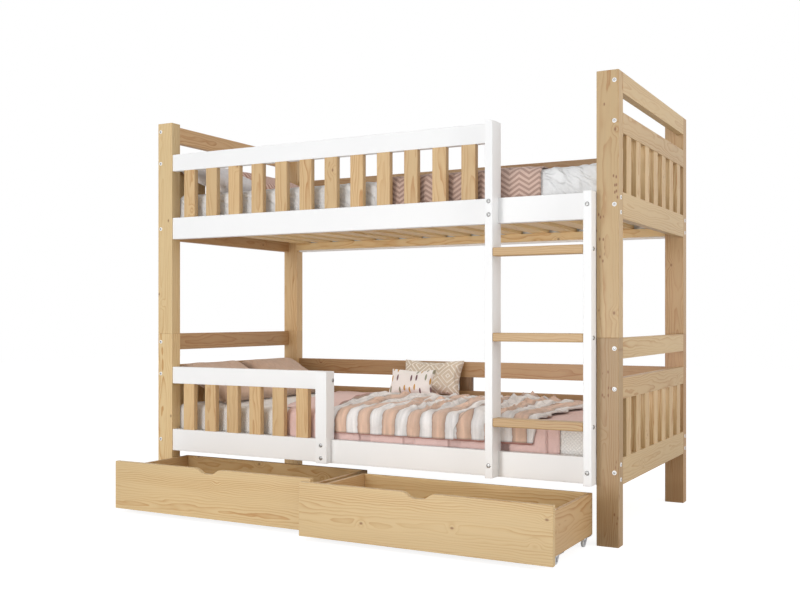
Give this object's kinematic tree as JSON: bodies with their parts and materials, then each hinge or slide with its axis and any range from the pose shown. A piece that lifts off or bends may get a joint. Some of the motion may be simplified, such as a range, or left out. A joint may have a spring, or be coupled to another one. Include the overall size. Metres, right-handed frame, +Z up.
{
  "type": "bunk bed",
  "caption": "Pine and white bunk bed for children with slatted guard rails, a front ladder, made-up bedding and pull-out drawers on swivel casters",
  "frame": {"origin": "on the floor under the middle of the whole object, drawers pulled out as pictured", "axes": "+X along the bed to the right seen from the front, +Y to the back, +Z up"},
  "size_m": [2, 1.39, 1.59],
  "materials": {
    "pine": "light pine boards with visible grain and knots under a thin clear lacquer",
    "white_paint": "smooth satin white paint on wood",
    "white_sheet": "white cotton sheet, softly wrinkled",
    "pink_cotton": "pale pink woven cotton with pleats",
    "striped_cotton": "soft cotton in broad peach and pale grey stripes",
    "chevron_knit": "dusty pink knit with a mauve chevron pattern",
    "dusty_pink_cotton": "matte dusty pink cotton",
    "grey_cotton": "matte pale grey lavender cotton",
    "beige_linen": "natural linen with a fringed edge",
    "caster_fork": "light grey moulded plastic",
    "caster_wheel": "pale translucent grey plastic"
  },
  "bodies": {
    "bed_frame": {"lower_post_front_left": "pine", "lower_post_rear_left": "pine", "lower_end_board_left": "pine", "lower_end_panel_left": "pine", "lower_post_front_right": "pine", "lower_post_rear_right": "pine", "lower_end_board_right": "pine", "lower_end_panel_right": "pine", "lower_rail_front": "white_paint", "lower_rail_rear": "pine", "lower_slat_deck": "pine", "lower_mattress": "white_sheet", "upper_post_front_left": "pine", "upper_post_rear_left": "pine", "upper_end_board_left": "pine", "upper_end_panel_left": "pine", "upper_post_front_right": "pine", "upper_post_rear_right": "pine", "upper_end_board_right": "pine", "upper_end_panel_right": "pine", "upper_rail_front": "white_paint", "upper_rail_rear": "white_paint", "upper_slat_deck": "pine", "upper_mattress": "white_sheet", "upper_guard": "white_paint", "lower_guard": "white_paint", "upper_back_guard": "pine", "lower_back_guard": "pine", "ladder_left_upright": "white_paint", "ladder_right_upright": "white_paint", "ladder_rung_1": "pine", "ladder_rung_2": "pine", "ladder_rung_3": "pine", "coverlet": "pink_cotton", "duvet": "striped_cotton", "blanket": "chevron_knit", "lower_pillows": "dusty_pink_cotton", "upper_pillow_front": "grey_cotton", "upper_pillow_rear": "chevron_knit", "cushions": "beige_linen"},
    "left_drawer": {"left_drawer_front": "pine", "left_drawer_box": "pine"},
    "left_fork_front_left": {"left_fork_front_left": "caster_fork"},
    "left_wheel_front_left": {"left_wheel_front_left": "caster_wheel"},
    "left_fork_front_right": {"left_fork_front_right": "caster_fork"},
    "left_wheel_front_right": {"left_wheel_front_right": "caster_wheel"},
    "left_fork_rear_left": {"left_fork_rear_left": "caster_fork"},
    "left_wheel_rear_left": {"left_wheel_rear_left": "caster_wheel"},
    "left_fork_rear_right": {"left_fork_rear_right": "caster_fork"},
    "left_wheel_rear_right": {"left_wheel_rear_right": "caster_wheel"},
    "right_drawer": {"right_drawer_front": "pine", "right_drawer_box": "pine"},
    "right_fork_front_left": {"right_fork_front_left": "caster_fork"},
    "right_wheel_front_left": {"right_wheel_front_left": "caster_wheel"},
    "right_fork_front_right": {"right_fork_front_right": "caster_fork"},
    "right_wheel_front_right": {"right_wheel_front_right": "caster_wheel"},
    "right_fork_rear_left": {"right_fork_rear_left": "caster_fork"},
    "right_wheel_rear_left": {"right_wheel_rear_left": "caster_wheel"},
    "right_fork_rear_right": {"right_fork_rear_right": "caster_fork"},
    "right_wheel_rear_right": {"right_wheel_rear_right": "caster_wheel"}
  },
  "joints": [
    {"name": "left_drawer_slide", "type": "slide", "parent": "bed_frame", "child": "left_drawer", "axis": [0, -1, 0], "range_m": [-0.333, 0.177]},
    {"name": "left_caster_swivel_front_left", "type": "hinge", "parent": "left_drawer", "child": "left_fork_front_left", "pos_m": [-0.891, -0.504, 0.033], "axis": [0, 0, 1], "continuous": true},
    {"name": "left_wheel_roll_front_left", "type": "hinge", "parent": "left_fork_front_left", "child": "left_wheel_front_left", "pos_m": [-0.891, -0.518, 0.013], "axis": [1, 0, 0], "continuous": true},
    {"name": "left_caster_swivel_front_right", "type": "hinge", "parent": "left_drawer", "child": "left_fork_front_right", "pos_m": [-0.031, -0.504, 0.033], "axis": [0, 0, 1], "continuous": true},
    {"name": "left_wheel_roll_front_right", "type": "hinge", "parent": "left_fork_front_right", "child": "left_wheel_front_right", "pos_m": [-0.031, -0.518, 0.013], "axis": [1, 0, 0], "continuous": true},
    {"name": "left_caster_swivel_rear_left", "type": "hinge", "parent": "left_drawer", "child": "left_fork_rear_left", "pos_m": [-0.891, -0.231, 0.033], "axis": [0, 0, 1], "continuous": true},
    {"name": "left_wheel_roll_rear_left", "type": "hinge", "parent": "left_fork_rear_left", "child": "left_wheel_rear_left", "pos_m": [-0.891, -0.245, 0.013], "axis": [1, 0, 0], "continuous": true},
    {"name": "left_caster_swivel_rear_right", "type": "hinge", "parent": "left_drawer", "child": "left_fork_rear_right", "pos_m": [-0.031, -0.231, 0.033], "axis": [0, 0, 1], "continuous": true},
    {"name": "left_wheel_roll_rear_right", "type": "hinge", "parent": "left_fork_rear_right", "child": "left_wheel_rear_right", "pos_m": [-0.031, -0.245, 0.013], "axis": [1, 0, 0], "continuous": true},
    {"name": "right_drawer_slide", "type": "slide", "parent": "bed_frame", "child": "right_drawer", "axis": [0, -1, 0], "range_m": [-0.41, 0.1]},
    {"name": "right_caster_swivel_front_left", "type": "hinge", "parent": "right_drawer", "child": "right_fork_front_left", "pos_m": [0.031, -0.581, 0.033], "axis": [0, 0, 1], "continuous": true},
    {"name": "right_wheel_roll_front_left", "type": "hinge", "parent": "right_fork_front_left", "child": "right_wheel_front_left", "pos_m": [0.031, -0.595, 0.013], "axis": [1, 0, 0], "continuous": true},
    {"name": "right_caster_swivel_front_right", "type": "hinge", "parent": "right_drawer", "child": "right_fork_front_right", "pos_m": [0.891, -0.581, 0.033], "axis": [0, 0, 1], "continuous": true},
    {"name": "right_wheel_roll_front_right", "type": "hinge", "parent": "right_fork_front_right", "child": "right_wheel_front_right", "pos_m": [0.891, -0.595, 0.013], "axis": [1, 0, 0], "continuous": true},
    {"name": "right_caster_swivel_rear_left", "type": "hinge", "parent": "right_drawer", "child": "right_fork_rear_left", "pos_m": [0.031, -0.308, 0.033], "axis": [0, 0, 1], "continuous": true},
    {"name": "right_wheel_roll_rear_left", "type": "hinge", "parent": "right_fork_rear_left", "child": "right_wheel_rear_left", "pos_m": [0.031, -0.322, 0.013], "axis": [1, 0, 0], "continuous": true},
    {"name": "right_caster_swivel_rear_right", "type": "hinge", "parent": "right_drawer", "child": "right_fork_rear_right", "pos_m": [0.891, -0.308, 0.033], "axis": [0, 0, 1], "continuous": true},
    {"name": "right_wheel_roll_rear_right", "type": "hinge", "parent": "right_fork_rear_right", "child": "right_wheel_rear_right", "pos_m": [0.891, -0.322, 0.013], "axis": [1, 0, 0], "continuous": true}
  ]
}
